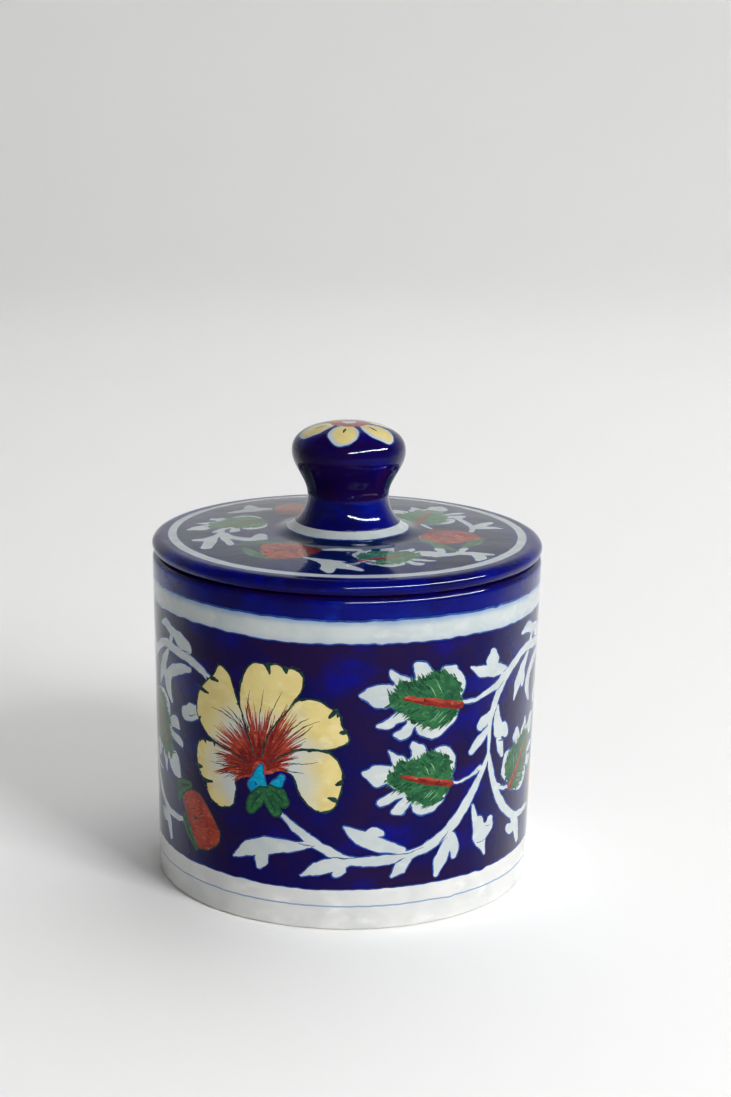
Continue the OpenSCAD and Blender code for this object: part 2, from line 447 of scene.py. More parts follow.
def flower(sheet, heart):
    """A five-petalled flower seen half from the side, with red hairs that spread from its heart."""
    rand = sheet.random
    sheet.hearts.append(sheet.place(heart))

    def at(points):
        return [heart + p for p in points]

    for outline, notches in PETALS:
        ring = spline(at(outline), closed=True)
        sheet.edged(3, LEAFLINE, 0.45, 4, YELLOW, ring)
        for outer, inner in notches:
            outer *= 0.97
            path = at([outer, (outer + inner) / 2, inner])
            sheet.paint(4.5, LEAFLINE, blade(path, [1.3, 1.1, 0.6]))
        for spot in ring[::2]:
            reach = abs(spot - heart)
            if reach > 13 and rand.random() < 0.75:
                spot = heart + (spot - heart) * rand.uniform(0.985, 1.03)
                size = rand.uniform(0.35, 0.9)
                slant = cmath.rect(size, rand.uniform(0, pi))
                nick = blade([spot - slant, spot, spot + slant], [0.2, size, 0.2], 0.5)
                sheet.paint(rand.choice((3.2, 3.2, 4.3)), LEAFLINE, nick)
    core = [cmath.rect(0.56 * reach, radians(a)) for a, reach in zip(HAIR_ANGLES, HAIR_REACH)]
    sheet.paint(5, RED, spline(at([-2 - 2j] + [2 - 1j] + core), closed=True))
    for k in range(260):
        angle = rand.uniform(HAIR_ANGLES[0], HAIR_ANGLES[-1])
        reach = float(np.interp(angle, HAIR_ANGLES, HAIR_REACH)) * rand.uniform(0.62, 1.0)
        bend = radians(90 - angle) * 0.10
        way = cmath.rect(1, radians(angle))
        start = way * reach * 0.38 * cmath.rect(1, bend)
        middle = way * reach * 0.7 * cmath.rect(1, bend * 0.4)
        hair = blade(at([start, middle, way * reach]), [0.5, 0.34, 0.1], 1.4)
        sheet.paint(5.2, RED if k % 5 else DARKRED, hair)
    for _ in range(90):
        angle = rand.uniform(HAIR_ANGLES[0] + 8, HAIR_ANGLES[-1] - 6)
        reach = float(np.interp(angle, HAIR_ANGLES, HAIR_REACH)) * rand.uniform(0.3, 0.62)
        way = cmath.rect(1, radians(angle))
        hair = blade(at([way * 2.5, way * reach * 0.6, way * reach]), [0.7, 0.6, 0.15], 1.4)
        sheet.paint(5.4, DARKRED, hair)
    for path in VEINS:
        sheet.line(at(path), 0.28, LEAFLINE, 5.6)
    for path in SEAMS:
        sheet.line(at(path), 0.5, LEAFLINE, 5.7)
    for path, widths in HEART_LEAVES:
        sheet.edged(6.0, LINE, 0.35, 6.4, TURQUOISE, blade(at(path), widths))
    for path, widths in SEPALS:
        sheet.edged(6.5, DARKGREEN, 0.4, 6.6, GREEN, blade(at(path), widths))
        sheet.paint(6.7, DARKGREEN, blade(at(path), [0.2, 0.7, 0.3]))


# White scroll of one repeat of the wall: the path of each stroke and its width at each point.
REPEAT = 113.0
REPEAT_START = -50
SCROLL = [
    ([-16.2+29.9j, -11.8+26.2j, -7.9+23.2j, -3.5+20.6j, 1.5+18.3j, 8+18.0j, 14+18.6j, 20+19.9j, 25.5+22.6j,
      30+26.5j, 34+31.5j, 37.4+36.5j, 40+41.5j],
     [0.5, 2, 2.2, 2.3, 2, 2.6, 2.4, 2.2, 2.6, 2.8, 2.6, 1.8, 1.0]),
    ([40+41j, 39.8+46j, 40.2+50.5j, 42+55j, 44.5+59j, 48+61.6j, 52+63.6j, 56.5+64.8j, 63+64.4j],
     [1.0, 1.2, 1.8, 2.2, 2.4, 2.4, 2.4, 2.4, 2.4]),
    ([29.4+56.7j, 33.2+56.3j, 37.2+57.2j, 42+58.7j, 45.5+61.2j], [0.9, 0.8, 1.3, 1.8, 1.5]),
    ([27.4+36.5j, 30.4+35.9j, 34+36.8j, 37+38.2j], [0.7, 0.6, 0.8, 1.2]),
    ([40+41.5j, 41.2+36.5j, 43.6+30.5j, 47+25.8j, 51+22.4j, 56+20.4j, 63+20.1j],
     [1, 1.8, 2.2, 2.4, 2.2, 1.8, 1.6]),
    ([50+30j, 46.6+30.4j, 43.4+32j], [0.6, 1.0, 1.4]),
    ([-28.8+16.0j, -24.5+18.8j, -18.5+20.7j, -12+21.3j, -7+22.6j], [0.3, 3.8, 4.4, 2.4, 1.2]),
    ([-20.3+19j, -20.7+16.5j, -21.2+14.8j], [3.2, 3.4, 1.6]),
    ([-10.4+13.8j, -6.5+15.9j, -2.5+17.1j, 2+17.8j], [0.3, 3.3, 3.4, 1.4]),
    ([-0.9+17.2j, -0.6+15.8j, -1.8+14.6j], [2.6, 2.8, 1.5]),
    ([0.2+27.1j, 4+24.4j, 9+22.2j, 15+20.4j], [0.4, 3.5, 3.8, 1.4]),
    ([5.6+24.5j, 7.4+25.5j, 9.4+25.2j], [2.5, 2.8, 1.4]),
    ([12.3+13.7j, 14.4+15.8j, 16.6+17.9j], [0.6, 3.3, 1.4]),
    ([24.2+12.7j, 25.2+16j, 27.5+20.5j], [1.2, 3.8, 3]),
    ([29.4+17.0j, 29.5+18.8j, 28.3+22j], [1.8, 2.8, 2.4]),
    ([34.8+28.8j, 36+25j, 37.8+21.5j], [0.7, 2.0, 4.6]),
    ([37.4+24.0j, 37.9+20j, 40+14.8j], [3.0, 4.8, 0.7]),
    ([38.8+20.4j, 41.2+21.9j, 41.7+23.2j], [4, 3.6, 2.4]),
    ([50.6+18.6j, 52.0+17.8j, 54+18.6j], [2.2, 3.2, 3]),
    ([53+21j, 55.5+17.5j, 57+13.6j], [2.5, 3.8, 2.2]),
    ([32.4+65j, 36+63.4j, 41+62.8j, 46+61.6j], [0.3, 3.0, 3.6, 1.6]),
    ([40+63.6j, 40+65.6j, 40.1+67.2j], [4.0, 5.0, 2.6]),
    ([58+63.2j, 54.5+59.8j, 52+56.5j, 50.4+53j], [1.2, 3.4, 3.4, 0.8]),
    ([54.5+59j, 54.9+57j, 54.8+55.8j], [2.8, 3.0, 1.8]),
    ([40.4+51.5j, 37.6+50.0j, 36.6+49.2j], [2.2, 3.2, 2.6]),
    ([39.6+48j, 36.5+45.6j, 33.8+43.2j], [1.4, 2.8, 1.8]),
    ([42.6+53j, 42.8+49j, 44.0+46.5j], [1.0, 3.0, 3.6]),
    ([43.5+46.2j, 45.6+46.0j, 46.6+45.2j], [3.6, 4.2, 3.0]),
    ([43.8+44j, 44.8+41.5j, 45.6+39.4j], [2, 2.6, 1.2]),
    ([-50+64.4j, -44.3+63.7j, -40.4+62.6j, -35.4+60.2j], [2.4, 2, 2.2, 1.4]),
    ([-52+69.4j, -47.8+67.6j, -44.0+66.3j], [1.4, 4.2, 3.2]),
    ([-46.6+66.8j, -46.8+64.8j], [2.2, 1.6]),
    ([-43.5+61j, -47.5+60.2j, -53+57.9j, -55+54.2j, -52.8+50.2j], [1.4, 2.8, 3.0, 4.2, 1.2]),
    ([-39.8+50.9j, -43.2+50j, -45.6+49.2j], [3.2, 4.6, 3.6]),
    ([-50+20.1j, -48+20.4j, -46+20.6j], [1.6, 1.2, 0.8]),
    ([59+64.6j, 60.5+68.2j, 57+70j, 53.4+69.4j], [1.2, 2.6, 3.0, 0.8]),
]
SCROLL_LINES = [
    [-11+22.4j, -9+22.0j, -6.8+21.9j], [-4+19.2j, 0+18.9j, 3+19.0j], [9+19.8j, 15+19.4j, 20.6+20.6j],
    [24.4+20.2j, 26+22j, 27.6+23.8j], [12.8+16.9j, 14+17.6j, 15.6+18.3j], [44.6+61.2j, 46.6+62.4j],
    [42.2+57j, 43.4+58j, 44.8+58.9j], [52+62.4j, 55+63.4j, 58.6+63.7j], [40.6+46j, 41+50j, 43.3+54.4j],
    [37+18.4j, 38.4+18.3j, 39.8+18.6j], [40+22j, 42+21.8j], [-47+65.0j, -45+65.2j, -43.4+65.5j],
    [-45.8+62.9j, -42+61.9j, -38+60.4j], [-44.4+49.2j, -43+49.2j, -41+49.9j],
    [43.8+43.6j, 45+43.3j, 46+43.2j], [50.2+34j, 47+31.2j, 45+31.3j], [34.4+28.0j, 35+29.4j],
    [36.6+36.8j, 36+38j],
]
# The wall's bud, about its middle, and its two sepals.
WALL_BUD = [
    -7.1+4.1j, -4.4+6.6j, -0.4+7.3j, 2+5.6j, 4.4+3j, 7.4-1.7j, 6.6-4.6j, 4-6.4j, 1.4-7.3j, -1.2-6.6j,
    -3.9-2.3j, -6+1.2j,
]
WALL_CALYX = [
    ([-9.0+3.2j, -8.2+6.6j, -3.6+8.4j], [1.4, 3.8, 1.6]),
    ([-6.6-0.3j, -4.8-3.6j, -1.4-7.6j], [1.2, 2.8, 1.2]),
]


def wall_repeat(sheet, start, stretch, ahead=True):
    """One repeat of the wall's flower and scroll. start is where its left end goes, and ahead says
    whether a leaf grows across its right end."""
    sheet.place = lambda p: complex(start + (p.real - REPEAT_START) * stretch, p.imag)
    for path, widths in SCROLL:
        sheet.reserve(blade(path, widths))
    for path in SCROLL_LINES:
        sheet.line(path, 0.32)
    leaf(sheet, 29.4 + 56.6j, 3.4 + 61j)
    leaf(sheet, 27.5 + 36.6j, 4.4 + 41j)
    if ahead:
        leaf(sheet, 50 + 30.2j, 66.5 + 45.5j, -1)
    flower(sheet, -21 + 40j)
    bud(sheet, -40.6 + 22.3j, WALL_BUD, WALL_CALYX)
    sheet.place = lambda p: p


def band_edge(height, wobble, seed):
    """A hand-drawn line round the wall."""
    out = []
    for k in range(SPOKES + 1):
        angle = 2 * pi * k / SPOKES - pi
        spot = Vector((sin(angle), cos(angle), seed))
        rise = noise(spot * 2.3) * wobble + noise(spot * 19) * wobble * 0.5
        nick = max(0.0, noise(spot * 9 + Vector((5, 5, 5))) - 0.42) * wobble * 4
        out.append(complex(angle * SHEET_R, height + rise - nick))
    return out


def band(sheet, level, index, low, high):
    """A band painted round the wall. low and high are the height, wobble and seed of its edges."""
    sheet.strokes.append((level, index, band_edge(*low) + band_edge(*high)[::-1]))


def wall_radius(z):
    """The wall leans out by a little from foot to rim."""
    t = (z - FOOT_ROUND) / (JAR_H - RIM_ROUND - FOOT_ROUND)
    return JAR_FOOT_R + (JAR_TOP_R - JAR_FOOT_R) * t


def lay_wall(p):
    angle = p.real / SHEET_R
    radius = wall_radius(p.imag)
    return Vector((radius * sin(angle), -radius * cos(angle), p.imag))


BAND_LOW, BAND_HIGH, FOOT_BAND, FOOT_LINE = 73.4, 78.9, 10.6, 6.1


def paint_wall():
    sheet = Painting(lay_wall)
    wall_repeat(sheet, REPEAT_START, 1.0)
    narrow = (2 * HALF_TURN - REPEAT) / 2
    wall_repeat(sheet, REPEAT_START + REPEAT, narrow / REPEAT)
    wall_repeat(sheet, REPEAT_START + REPEAT + narrow, narrow / REPEAT, ahead=False)
    # The leaf over the join of the last repeat and the first.
    leaf(sheet, -66 + 49j, -48.6 + 31j)
    below, above = (-3, 0, 0), (JAR_H + 3, 0, 0)
    low, high = (BAND_LOW, 0.7, 3.0), (BAND_HIGH, 0.5, 4.0)
    band(sheet, 7, WASH, below, (FOOT_BAND + 0.3, 0.5, 1.0))
    # The foot band: whiter slip, brightened as painted bounce light from the floor.
    band(sheet, 7.1, FOOTWHITE_BOUNCE_LIT, below, (FOOT_BAND, 0.5, 1.0))
    band(sheet, 7.2, SLIP, (FOOT_LINE - 0.2, 0.3, 2.0), (FOOT_LINE + 0.2, 0.3, 2.0))
    band(sheet, 6.9, RIMBLUE, high, above)
    band(sheet, 7, WASH, (BAND_LOW - 0.35, 0.7, 3.0), (BAND_HIGH + 0.5, 0.5, 4.0))
    band(sheet, 7.1, SLIP, low, high)
    # What runs off one end of the sheet comes in at the other. The bands at level 7 reach both ends.
    turned = []
    for level, index, outline in sheet.strokes:
        if level >= 7:
            continue
        reach = [p.real for p in outline]
        for shift in (-2 * HALF_TURN, 2 * HALF_TURN):
            if min(reach) + shift < HALF_TURN and max(reach) + shift > -HALF_TURN:
                turned.append((level, index, [p + shift for p in outline]))
    sheet.strokes += turned
    return sheet


# ---------------- the lid's and the knob's painting


def lid_height(radius):
    """Height of the lid's upper side, which rises in a round to the boss under the knob."""
    if radius < TOP_FOOT_R:
        return NECK_Z - sqrt(FOOT_FILLET**2 - (TOP_FOOT_R - max(radius, BOSS_R)) ** 2)
    s = (FLAT_R - min(radius, FLAT_R)) / (FLAT_R - TOP_FOOT_R)
    return TOP_Z - LID_RISE * (1 - s) ** 2


def lay_lid(p):
    return Vector((p.real, p.imag, lid_height(abs(p))))


def circle(radius, count=SPOKES, wobble=0.0, seed=0.0):
    """A ring of count points, hand-drawn where it has a wobble."""
    out = []
    for k in range(count):
        way = cmath.rect(1, 2 * pi * k / count)
        spot = Vector((way.real, way.imag, seed))
        out.append(way * (radius + wobble * (noise(spot * 2.1) + 0.4 * noise(spot * 11))))
    return out


LID_SCROLL = [
    ([-6.5-22.5j, -2-22.1j, 2.8-22.4j], [0.8, 2.2, 1.6]),
    ([-10.5-29.7j, -6.5-32.3j, -3.5-35.3j, -1.5-36.6j], [0.6, 2.2, 4.6, 3.6]),
    ([-4-36j, -4.5-39.0j, -4.3-41.4j], [3.5, 3.2, 1.8]),
    ([-2-36.5j, 1-38j, 3.3-39.8j], [3.4, 2.6, 1.2]),
    ([-8-31.5j, -4-32.4j, -0.5-33.3j], [1.0, 0.9, 0.4]),
    ([21.5-26j, 24.5-24.4j, 27.5-22.6j, 31.5-22.0j, 36-21.8j], [1.6, 2.0, 1.8, 2.8, 1.0]),
    ([23.6-24.6j, 23.2-21.6j, 22.8-19.4j], [1.4, 1.8, 2.2]),
    ([27.5-22.3j, 28.4-19.8j, 29.4-17.6j], [1.4, 1.6, 1.2]),
    ([32-22.6j, 32.8-25j, 32.2-27.5j], [2.4, 3.0, 1.2]),
    ([-32-4j, -33-8j, -35.2-11.5j, -38.4-11.8j], [1.2, 1.6, 2.6, 1.4]),
    ([-34.2-10.5j, -34.5-15j, -35-19.6j], [2.6, 2.8, 2.4]),
    ([-32-5j, -31-10j, -29-17.2j], [1.0, 1.8, 1.4]),
    ([-31-5.5j, -29-10j, -25-12.2j, -21.5-11.4j], [1.0, 2.0, 3.0, 2.4]),
    ([-23-10.8j, -22-8.8j, -21.8-7.2j], [2.4, 2.8, 1.8]),
    ([31.8+0.3j, 32.3+5.5j, 30.8+11j, 28.8+15.5j], [0.8, 1.4, 1.6, 1.2]),
    ([32.2+3j, 34.5+8j, 37.4+12.4j], [1.0, 2.6, 1.6]),
    ([34+5j, 37+6.4j, 39.8+6.2j], [2.0, 2.2, 0.8]),
    ([22+1.5j, 19.6+6j, 18+10j], [0.6, 1.0, 0.8]),
    ([-31.5+18.5j, -28+20.6j, -24.5+22.6j, -20.5+23.4j], [1.0, 2.8, 4.4, 1.6]),
    ([-25+23j, -26.2+26j, -26.4+28.4j], [3.4, 3.0, 1.2]),
    ([-3+23j, 0+27.5j, 5+30.5j, 10+31.5j], [0.8, 1.6, 1.8, 0.8]),
    ([0.5+28j, -2+31.5j, -1+35j], [1.6, 2.8, 1.2]),
    ([4+30.4j, 5.6+34j, 9+37j], [1.4, 2.8, 1.2]),
]
LID_BUD = [
    -6.0+2.2j, -5.6+5.8j, -1+7.2j, 3.4+7.6j, 5.6+4.2j, 9+0.4j, 5.8-4.4j, 2.6-6.8j, -3-7.2j, -5.4-2.6j,
]
LID_CALYX = [
    ([-12.5+5.8j, -7+7.6j, 1.6+8.4j], [1.0, 3.4, 1.0]),
    ([-10.0+2.4j, -7.6-2.4j, -3.6-7.0j], [1.4, 3.2, 1.4]),
]
LID_TIP = [4.6+4.6j, 9+0.4j, 5.4-4.4j, 4.6+0j]


def paint_lid():
    sheet = Painting(lay_lid)
    sheet.greens = LIDGREEN, GREEN
    for path, widths in LID_SCROLL:
        sheet.reserve(blade(path, [1.2 * width for width in widths]))
    leaf(sheet, 3.4 - 31.5j, 23.5 - 22.5j, -1)
    leaf(sheet, -21.6 + 8.6j, -41.2 - 0.6j)
    leaf(sheet, 17.2 + 7.6j, 25.5 + 31.5j, -1)
    bud(sheet, -15.5 - 23.6j, LID_BUD, LID_CALYX, 0, LID_TIP)
    bud(sheet, 26.4 - 6.2j, LID_BUD, LID_CALYX, 118, LID_TIP)
    bud(sheet, -12.5 + 23.4j, LID_BUD, LID_CALYX, 236, LID_TIP)
    for level, index, radius, seed in (
        (0.1, WASH, 46.2, 1), (0.2, SLIP, 45.9, 1), (0.3, WASH, 43.75, 2), (0.4, LIDBLUE, 43.4, 2),
        (8, WASH, 16.0, 3), (8.1, SLIP, 15.6, 3),
    ):
        sheet.strokes.append((level, index, circle(radius, wobble=0.25, seed=seed)))
    return sheet


CROWN_STEPS, NECK_STEPS, BOSS_STEPS = 60, 30, 20


def sweep_knob():
    """The knob's side from the crown down to the boss: distance along it, radius and height."""
    side = []
    crown = KNOB_TOP - WIDE_Z
    power = 2 / CROWN_POWER
    for k in range(CROWN_STEPS + 1):
        turn = pi / 2 * (1 - k / CROWN_STEPS)
        side.append((KNOB_R * cos(turn) ** power, WIDE_Z + crown * sin(turn) ** power))
    for k in range(1, NECK_STEPS + 1):
        t = 1 - k / NECK_STEPS
        radius = NECK_R + (KNOB_R - NECK_R) * (1 - cos(pi * t)) / 2
        side.append((radius, NECK_Z + (WIDE_Z - NECK_Z) * t))
    for k in range(1, BOSS_STEPS + 1):
        turn = pi / 2 + (BOSS_TURN - pi / 2) * k / BOSS_STEPS
        side.append((NECK_R + FOOT_FILLET * (1 - sin(turn)), NECK_Z - FOOT_FILLET * cos(turn)))
    radii, heights = np.array(side).T
    steps = np.hypot(np.diff(radii), np.diff(heights))
    return np.concatenate([[0], np.cumsum(steps)]), radii, heights


KNOB_ALONG, KNOB_RADII, KNOB_HEIGHTS = sweep_knob()
CROWN_REACH = float(KNOB_ALONG[CROWN_STEPS])


def lay_knob(p):
    along = abs(p)
    radius = float(np.interp(along, KNOB_ALONG, KNOB_RADII))
    height = float(np.interp(along, KNOB_ALONG, KNOB_HEIGHTS))
    way = p / along if along > 1e-6 else 0j
    return Vector((way.real * radius, way.imag * radius, height))


def paint_knob():
    sheet = Painting(lay_knob)
    for k in range(6):
        spin = cmath.rect(1, radians(-98 + 60 * k))
        long = 14.2 + 0.7 * noise(Vector((k * 3.1, 0, 0)))
        white = [3.6+0.4j, 6.6+3.0j, 10+3.9j, 13+2.4j, long + 0j, 13-2.6j, 10-4.0j, 6.6-3.1j, 3.6-0.4j]
        sheet.reserve(spline([spin * p for p in white], closed=True, step=0.4))
        yellow = [4.2+0.3j, 7+2.5j, 10.2+3.2j, 12.6+1.9j, long - 0.5 + 0.4j, 12.6-1.4j, 10-2.7j, 7-2.3j]
        sheet.paint(4, YELLOW, spline([spin * p for p in yellow], closed=True, step=0.4))
        vein = [spin * p for p in (6.4+0.1j, 7.6, 9.2-0.2j)]
        sheet.paint(5, DARKGREEN, blade(vein, [0.3, 0.7, 0.25], 0.4))
    sheet.paint(6, RED, circle(5.0, 60, 0.25, 5))
    sheet.paint(6.2, DARKRED, circle(2.3, 50, 0.25, 8))
    sheet.paint(6.4, SLIP, circle(1.9, 40, 0.25, 6))
    return sheet


# ---------------- from painting to mesh


def within(outline, centres):
    """Which of the centres lie inside the outline, even where it crosses itself."""
    ring = np.array(outline)
    after = np.roll(ring, -1)
    near = np.flatnonzero(
        (centres.real > ring.real.min()) & (centres.real < ring.real.max())
        & (centres.imag > ring.imag.min()) & (centres.imag < ring.imag.max())
    )
    turns = np.zeros(len(near), int)
    spots = centres[near]
    for a, b in zip(ring, after):
        cross = (b.real - a.real) * (spots.imag - a.imag) - (b.imag - a.imag) * (spots.real - a.real)
        turns += (a.imag <= spots.imag) & (b.imag > spots.imag) & (cross > 0)
        turns -= (a.imag > spots.imag) & (b.imag <= spots.imag) & (cross < 0)
    return near[turns != 0]


def inlay(sheet, rims, grid, inside):
    """Cuts the sheet into triangles along every outline, and gives each the pigment painted last there."""
    points = []
    edges = []
    for outline in rims + [stroke[2] for stroke in sheet.strokes]:
        first = len(points)
        count = len(outline)
        points += outline
        edges += [(first + k, first + (k + 1) % count) for k in range(count)]
    points += grid
    points = [Vector((p.real, p.imag)) for p in points]
    flat, _, faces, *_ = delaunay_2d_cdt(points, edges, [], 0, 1e-4, False)
    flat = np.array([complex(v.x, v.y) for v in flat])
    triangles = np.array(faces)
    centres = flat[triangles].mean(axis=1)
    keep = inside(centres)
    triangles, centres = triangles[keep], centres[keep]
    pigments = np.full(len(triangles), COBALT)
    for _, index, outline in sorted(sheet.strokes, key=lambda stroke: stroke[0]):
        pigments[within(outline, centres)] = index
    return flat, triangles, pigments


def lattice(width, height, gap, centre=0, seed=3):
    """Points about gap apart over a width by height rectangle."""
    rand = random.Random(seed)
    out = []
    rows = int(height / gap)
    columns = int(width / gap)
    for j in range(1, rows):
        for i in range(1, columns):
            out.append(centre + complex(
                (i + 0.5 * (j % 2)) * width / columns - width / 2 + rand.uniform(-0.12, 0.12) * gap,
                j * height / rows - height / 2 + rand.uniform(-0.12, 0.12) * gap))
    return [p for p in out if abs(p.real - centre.real) < width / 2 - gap * 0.3]


class Pot:
    """The mesh of one piece of pottery, built from painted sheets and turned profiles."""

    def __init__(self):
        self.points = []
        self.normals = []
        self.fades = []
        self.veils = []
        self.faces = []
        self.pigments = []

    def wrap(self, sheet, flat, triangles, pigments, veil=None):
        """Lays a cut sheet on the piece."""
        first = len(self.points)
        used, renumbered = np.unique(triangles, return_inverse=True)
        renumbered = renumbered.reshape(triangles.shape)
        for p in flat[used]:
            p = complex(p)
            here = sheet.lay(p)
            across = sheet.lay(p + 0.01) - sheet.lay(p - 0.01)
            up = sheet.lay(p + 0.01j) - sheet.lay(p - 0.01j)
            self.points.append(here * MM)
            self.normals.append(across.cross(up).normalized())
            self.fades.append(fade_at(sheet, p))
            self.veils.append(veil(p) if veil else 0.0)
        self.faces += [tuple(int(v) + first for v in tri) for tri in renumbered]
        self.pigments += [int(v) for v in pigments]

    def turn(self, profile, spokes, index):
        """Turns a profile round the axis. Its points are complex(radius, height), and the piece is on the
        left of the way it runs. index gives the pigment of each stretch, or is one pigment for all."""
        first = len(self.points)
        ring = np.array(profile)
        steps = np.diff(ring) / np.abs(np.diff(ring))
        along = np.concatenate([steps[:1], steps[:-1] + steps[1:], steps[-1:]])
        outward = -1j * along / np.abs(along)
        for p, out in zip(ring, outward):
            for k in range(spokes):
                angle = 2 * pi * k / spokes - pi
                s, c = sin(angle), cos(angle)
                self.points.append(Vector((p.real * s, -p.real * c, p.imag)) * MM)
                self.normals.append(Vector((out.real * s, -out.real * c, out.imag)))
                self.fades.append(0.0)
                self.veils.append(0.0)
        for j in range(len(ring) - 1):
            paint = index if isinstance(index, int) else index[j]
            for k in range(spokes):
                low, high = first + j * spokes, first + (j + 1) * spokes
                after = (k + 1) % spokes
                self.faces.append((low + k, low + after, high + after, high + k))
                self.pigments.append(paint)

    def finish(self, name, body, node):
        """Makes the object, welds its parts together, and hands it to the frame."""
        mesh = bpy.data.meshes.new(name)
        mesh.from_pydata([tuple(p) for p in self.points], [], self.faces)
        mesh.polygons.foreach_set("material_index", self.pigments)
        for key, values in (("fade", self.fades), ("veil", self.veils)):
            mesh.attributes.new(key, "FLOAT", "POINT").data.foreach_set("value", values)
        held = mesh.attributes.new("facing", "FLOAT_VECTOR", "POINT")
        held.data.foreach_set("vector", [c for n in self.normals for c in n])
        work = bmesh.new()
        work.from_mesh(mesh)
        bmesh.ops.remove_doubles(work, verts=work.verts, dist=0.004 * MM)
        bmesh.ops.dissolve_degenerate(work, dist=0.001 * MM, edges=work.edges)
        bmesh.ops.recalc_face_normals(work, faces=work.faces)
        work.to_mesh(mesh)
        work.free()
        mesh.polygons.foreach_set("use_smooth", [True] * len(mesh.polygons))
        used = sorted(set(self.pigments))
        for index in used:
            mesh.materials.append(materials[index])
        paints = np.zeros(len(mesh.polygons), int)
        mesh.polygons.foreach_get("material_index", paints)
        mesh.polygons.foreach_set("material_index", np.searchsorted(used, paints).tolist())
        facing = np.zeros(len(mesh.vertices) * 3)
        mesh.attributes["facing"].data.foreach_get("vector", facing)
        mesh.normals_split_custom_set_from_vertices(facing.reshape(-1, 3).tolist())
        mesh.attributes.remove(mesh.attributes["facing"])
        piece = bpy.data.objects.new(name, mesh)
        bpy.context.collection.objects.link(piece)
        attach(piece, body)
        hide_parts(node)


def smooth(value, low, high):
    """0 below low, 1 above high, and a soft step between."""
    t = min(1.0, max(0.0, (value - low) / (high - low)))
    return t * t * (3 - 2 * t)


def fade_at(sheet, p):
    """How far the yellow of a petal has faded to white: fully near a flower's heart."""
    if not sheet.hearts:
        return 0.0
    near = min(abs(p - heart) for heart in sheet.hearts)
    if near > 30:
        return 0.0
    patch = noise(sheet.lay(p) * 0.16 + Vector((3, 1, 8)))
    return 1 - smooth(near + 4.5 * patch, 9.5, 19)


def arc(centre, rx, ry, start, end, steps):
    """Points along an arc, in degrees."""
    out = []
    for k in range(steps + 1):
        turn = radians(start + (end - start) * k / steps)
        out.append(centre + complex(rx * cos(turn), ry * sin(turn)))
    return out


def line_to(start, end, gap=2.0):
    """Evenly spaced points from start to end, without the last."""
    parts = max(1, round(abs(end - start) / gap))
    return [start + (end - start) * k / parts for k in range(parts)]


def make_jar_wall():
    pot = Pot()
    sheet = paint_wall()
    top = JAR_H - RIM_ROUND
    across = [complex(-HALF_TURN + 2 * HALF_TURN * k / SPOKES, 0) for k in range(SPOKES + 1)]
    rises = [FOOT_ROUND + (top - FOOT_ROUND) * k / 56 for k in range(1, 56)]
    rim = [p + 1j * FOOT_ROUND for p in across] + [complex(HALF_TURN, z) for z in rises]
    rim += [p + 1j * top for p in across[::-1]] + [complex(-HALF_TURN, z) for z in rises[::-1]]
    grid = lattice(2 * HALF_TURN, top - FOOT_ROUND, 1.55, complex(0, (top + FOOT_ROUND) / 2))
    for drop in (0.7, 1.3, 1.9, 2.6):
        grid += [complex(p.real + drop, BAND_HIGH - drop) for p in across[1:-2]]

    def inside(c):
        return (np.abs(c.real) < HALF_TURN) & (c.imag > FOOT_ROUND) & (c.imag < top)

    def veil(p):
        if p.imag < 70:
            return 0.7 if abs(p.imag - FOOT_LINE) < 1 else 0.0
        uneven = 0.5 * noise(lay_wall(p) * 0.35)
        below = 0.25 * (1 - smooth(p.imag, BAND_LOW, BAND_LOW + 0.8))
        above = 0.75 * smooth(p.imag, BAND_HIGH - 1.9 + uneven, BAND_HIGH + 0.3)
        return max(above, below)

    pot.wrap(sheet, *inlay(sheet, [rim], grid, inside), veil)
    rim_centre = complex(JAR_TOP_R - RIM_ROUND, top)
    lip_centre = complex(BORE_R + LIP_ROUND, JAR_H - LIP_ROUND)
    cove_centre = complex(BASE_R, FLOOR_Z + COVE_R)
    foot_centre = complex(JAR_FOOT_R - FOOT_ROUND, FOOT_ROUND)
    tread_in = JAR_FOOT_R - FOOT_ROUND - TREAD_W
    outer = arc(rim_centre, RIM_ROUND, RIM_ROUND, 0, 90, 8)
    inner = arc(lip_centre, LIP_ROUND, LIP_ROUND, 90, 180, 6)
    bore = line_to(complex(BORE_R, lip_centre.imag), complex(BORE_R, cove_centre.imag), 4)[1:]
    cove = arc(cove_centre, COVE_R, COVE_R, 0, -90, 8)
    below = [complex(*spot) for spot in (
        (BASE_R, FLOOR_Z - 0.2), (BASE_R, RECESS_Z + 0.1), (BASE_R + 0.1, RECESS_Z),
        (tread_in - RECESS_Z - 0.1, RECESS_Z), (tread_in - 0.1, 0.06), (tread_in + 0.1, 0),
    )]
    foot = line_to(complex(tread_in + 0.3, 0), foot_centre - FOOT_ROUND * 1j, 2) + arc(
        foot_centre, FOOT_ROUND, FOOT_ROUND, -90, 0, 6)
    profile = outer + inner + bore + cove + below + foot
    # The rim's outer side is rim cobalt. Its crown, in the gap under the lid, is the darker ground cobalt
    # as painted shade of that gap.
    paints = [RIMBLUE] * 3 + [COBALT] * 8 + [PALE] * (len(bore) + len(cove) + len(inner) - 3)
    paints += [PASTE] * (len(profile) - 1 - len(paints))
    # The foot's rounding in the same white, brightened as painted bounce light.
    paints[-3:] = [FOOTWHITE_BOUNCE_LIT] * 3
    pot.turn(profile, SPOKES, paints)
    pot.finish("painted_jar_wall", "jar", "jar_wall")


